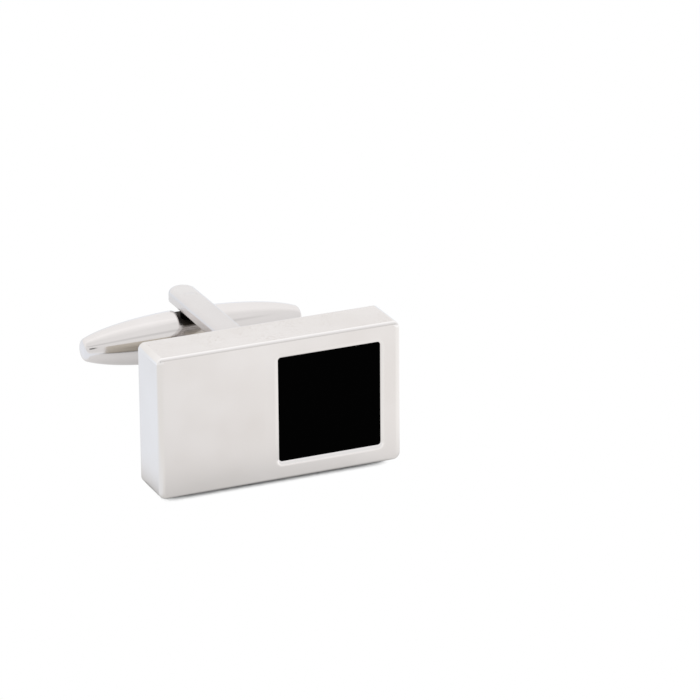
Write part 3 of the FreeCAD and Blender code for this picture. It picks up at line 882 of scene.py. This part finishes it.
def white_board():
    """A white board that shows as pure white, and darkens only close under the cufflink.

    The metal mirrors it with a wider shadow, which is lighter behind the head. Left of the head it
    is mirrored bright and cool, and far behind it is mirrored cool.
    """
    shadow_reach = 14.0
    seen_dark, seen_white = 0.125, 0.158
    mirrored_dark, mirrored_dark_behind, mirrored_white = 0.12, -0.5, 0.97
    behind_head = 4.0
    under_head, before_head = head_low.y - 0.2, head_low.y - 1.0
    deepest_shadow, shadow_blend = 0.78, 0.1
    beside_width, beside_front, beside_level = 1.5, -20.0, 1.15
    far_edge, far_full = 20.0, 40.0
    left_level, right_level = 0.92, 1.06
    material, tree, in_mm = bare_material("white_board")
    axes = add_node(tree, "ShaderNodeSeparateXYZ", {0: in_mm.outputs[0]})
    openness = add_node(
        tree, "ShaderNodeAmbientOcclusion", {"Distance": shadow_reach * MM}, samples=20
    )
    seen_open = add_node(
        tree,
        "ShaderNodeMapRange",
        {"Value": openness.outputs["AO"], "From Min": seen_dark, "From Max": seen_white},
    )
    behind = add_node(
        tree,
        "ShaderNodeMapRange",
        {
            "Value": axes.outputs["Y"],
            "From Max": behind_head,
            "To Min": mirrored_dark,
            "To Max": mirrored_dark_behind,
        },
    )
    mirrored_open = add_node(
        tree,
        "ShaderNodeMapRange",
        {"Value": openness.outputs["AO"], "From Min": behind.outputs[0], "From Max": mirrored_white},
    )
    # The shadow that the face mirrors goes no deeper than this, until it runs in under the head.
    face_shadow = add_node(
        tree,
        "ShaderNodeMapRange",
        {
            "Value": axes.outputs["Y"],
            "From Min": under_head,
            "From Max": before_head,
            "To Max": deepest_shadow,
        },
    )
    mirrored_open = add_node(
        tree,
        "ShaderNodeMath",
        {0: mirrored_open.outputs[0], 1: face_shadow.outputs[0], 2: shadow_blend},
        operation="SMOOTH_MAX",
    )
    beside = add_node(
        tree,
        "ShaderNodeMapRange",
        {"Value": axes.outputs["X"], "From Min": head_low.x, "From Max": head_low.x - beside_width},
    )
    beyond_edge = add_node(
        tree,
        "ShaderNodeMapRange",
        {"Value": axes.outputs["Y"], "From Min": beside_front, "From Max": behind_head},
    )
    beside = add_node(
        tree, "ShaderNodeMath", {0: beside.outputs[0], 1: beyond_edge.outputs[0]}, operation="MULTIPLY"
    )
    far_back = add_node(
        tree, "ShaderNodeMapRange", {"Value": axes.outputs["Y"], "From Min": far_edge, "From Max": far_full}
    )
    cool = add_node(
        tree, "ShaderNodeMath", {0: beside.outputs[0], 1: far_back.outputs[0]}, operation="MAXIMUM"
    )
    mirrored_tone = add_node(
        tree,
        "ShaderNodeMix",
        {"Factor": cool.outputs[0], MIX_A: linear("#ffffff"), MIX_B: linear("#f3f8ff")},
        data_type="RGBA",
    )
    mirrored_level = add_node(
        tree,
        "ShaderNodeMapRange",
        {"Value": beside.outputs[0], "To Min": mirrored_open.outputs[0], "To Max": beside_level},
    )
    # Light falls off towards the left, so the face mirrors a duller board there.
    to_right = add_node(
        tree,
        "ShaderNodeMapRange",
        {
            "Value": axes.outputs["X"],
            "From Min": head_low.x,
            "From Max": 2 * head_high.x,
            "To Min": left_level,
            "To Max": right_level,
        },
    )
    mirrored_level = add_node(
        tree, "ShaderNodeMath", {0: mirrored_level.outputs[0], 1: to_right.outputs[0]}, operation="MULTIPLY"
    )
    rays = add_node(tree, "ShaderNodeLightPath", {})
    seen = add_node(
        tree, "ShaderNodeEmission", {"Color": linear("#ffffff"), "Strength": seen_open.outputs[0]}
    )
    mirrored = add_node(
        tree,
        "ShaderNodeEmission",
        {"Color": mirrored_tone.outputs[MIX_RESULT], "Strength": mirrored_level.outputs[0]},
    )
    lit = add_node(tree, "ShaderNodeBsdfDiffuse", {"Color": linear("#f2f2f2")})
    # From below the board isn't there, so that low views from behind still show the cufflink.
    side = add_node(tree, "ShaderNodeNewGeometry", {})
    clear = add_node(tree, "ShaderNodeBsdfTransparent", {})
    board = lit
    for case, look in (
        (rays.outputs["Is Glossy Ray"], mirrored),
        (rays.outputs["Is Camera Ray"], seen),
        (side.outputs["Backfacing"], clear),
    ):
        board = add_node(tree, "ShaderNodeMixShader", {0: case, 1: board.outputs[0], 2: look.outputs[0]})
    add_node(tree, "ShaderNodeOutputMaterial", {"Surface": board.outputs[0]})
    return material


table_mesh.materials.append(white_board())

# Camera: a long lens, left of the cufflink and above it, framed as the photograph. Its place, in
# millimetres from the middle of the face, and its focal length were solved from the head's corners.

AZIMUTH = math.radians(-23.58)
ELEVATION = math.radians(20.994)
ROLL = math.radians(-0.425)
DISTANCE = 329.51
FRAME_RIGHT = 5.053
FRAME_UP = 4.424
IMAGE_WIDTH = 700
FOCAL_PIXELS = 4500
SENSOR_WIDTH = 36
NEAREST, FARTHEST = 10, 10000

backward = Vector(
    (
        math.sin(AZIMUTH) * math.cos(ELEVATION),
        -math.cos(AZIMUTH) * math.cos(ELEVATION),
        math.sin(ELEVATION),
    )
)
level_right = Vector((math.cos(AZIMUTH), math.sin(AZIMUTH), 0))
level_up = backward.cross(level_right)
right = level_right * math.cos(ROLL) + level_up * math.sin(ROLL)
up = backward.cross(right)
face_centre = Vector((0, head_low.y, 0))
spot = face_centre + backward * DISTANCE + right * FRAME_RIGHT + up * FRAME_UP
camera_data = bpy.data.cameras.new("camera")
camera_data.sensor_width = SENSOR_WIDTH
camera_data.lens = SENSOR_WIDTH * FOCAL_PIXELS / IMAGE_WIDTH
camera_data.clip_start = NEAREST * MM
camera_data.clip_end = FARTHEST * MM
camera = bpy.data.objects.new("camera", camera_data)
camera.matrix_world = Matrix.Translation(spot * MM) @ Matrix((right, up, backward)).transposed().to_4x4()
bpy.context.scene.collection.objects.link(camera)
bpy.context.scene.camera = camera
bpy.context.scene.view_settings.view_transform = "Standard"

# Light: a white tent all round, brighter overhead and duller in front, where it opens in a dark
# slit and round the lens. One large soft lamp above lights what isn't a mirror.

OVERHEAD_LEVEL = 1.07
FRONT_DARKNESS = 0.15
SLIT_HEIGHT = 0.67
SLIT_HALF_WIDTH = 0.1
SLIT_DARKNESS = 0.2
LENS_EDGE = math.radians(7)
LENS_CORE = math.radians(4)
LENS_DARKNESS = 0.75
LAMP_SIZE = 300
LAMP_PLACE = Vector((0, 50, 400))
LAMP_POWER = 0.012

world = bpy.data.worlds.new("white_tent")
bpy.context.scene.world = world
world.use_nodes = True
tree = world.node_tree
tree.nodes.clear()
direction = add_node(tree, "ShaderNodeTexCoord", {})
axes = add_node(tree, "ShaderNodeSeparateXYZ", {0: direction.outputs["Generated"]})
overhead = add_node(
    tree,
    "ShaderNodeMapRange",
    {"Value": axes.outputs["Z"], "From Min": 0.1, "From Max": 0.8, "To Min": 1.0, "To Max": OVERHEAD_LEVEL},
)
front = add_node(
    tree,
    "ShaderNodeMapRange",
    {"Value": axes.outputs["Y"], "From Min": 0.2, "From Max": -0.15, "To Max": FRONT_DARKNESS},
)
from_slit = add_node(tree, "ShaderNodeMath", {0: axes.outputs["Z"], 1: SLIT_HEIGHT}, operation="SUBTRACT")
from_slit = add_node(tree, "ShaderNodeMath", {0: from_slit.outputs[0]}, operation="ABSOLUTE")
slit = add_node(
    tree,
    "ShaderNodeMapRange",
    {"Value": from_slit.outputs[0], "From Min": SLIT_HALF_WIDTH, "From Max": 0.0},
    interpolation_type="SMOOTHSTEP",
)
slit_end = add_node(
    tree,
    "ShaderNodeMapRange",
    {"Value": axes.outputs["X"], "From Min": 0.7, "From Max": 0.42, "To Max": SLIT_DARKNESS},
)
slit = add_node(tree, "ShaderNodeMath", {0: slit.outputs[0], 1: slit_end.outputs[0]}, operation="MULTIPLY")
slit_front = add_node(
    tree, "ShaderNodeMapRange", {"Value": axes.outputs["Y"], "From Min": -0.2, "From Max": -0.5}
)
slit = add_node(tree, "ShaderNodeMath", {0: slit.outputs[0], 1: slit_front.outputs[0]}, operation="MULTIPLY")
to_lens = add_node(
    tree, "ShaderNodeVectorMath", {0: direction.outputs["Generated"], 1: backward}, operation="DOT_PRODUCT"
)
lens = add_node(
    tree,
    "ShaderNodeMapRange",
    {
        "Value": to_lens.outputs["Value"],
        "From Min": math.cos(LENS_EDGE),
        "From Max": math.cos(LENS_CORE),
        "To Max": LENS_DARKNESS,
    },
)
level = overhead
for shade in (front, slit, lens):
    level = add_node(tree, "ShaderNodeMath", {0: level.outputs[0], 1: shade.outputs[0]}, operation="SUBTRACT")
tent = add_node(
    tree, "ShaderNodeBackground", {"Color": linear("#ffffff"), "Strength": level.outputs[0]}
)
backdrop = add_node(tree, "ShaderNodeBackground", {"Color": linear("#ffffff"), "Strength": 1.0})
rays = add_node(tree, "ShaderNodeLightPath", {})
both = add_node(
    tree,
    "ShaderNodeMixShader",
    {0: rays.outputs["Is Camera Ray"], 1: tent.outputs[0], 2: backdrop.outputs[0]},
)
add_node(tree, "ShaderNodeOutputWorld", {"Surface": both.outputs[0]})

lamp = bpy.data.lights.new("overhead_lamp", "AREA")
lamp.shape = "DISK"
lamp.size = LAMP_SIZE * MM
lamp.energy = LAMP_POWER
lamp_object = bpy.data.objects.new("overhead_lamp", lamp)
lamp_object.location = LAMP_PLACE * MM
bpy.context.scene.collection.objects.link(lamp_object)
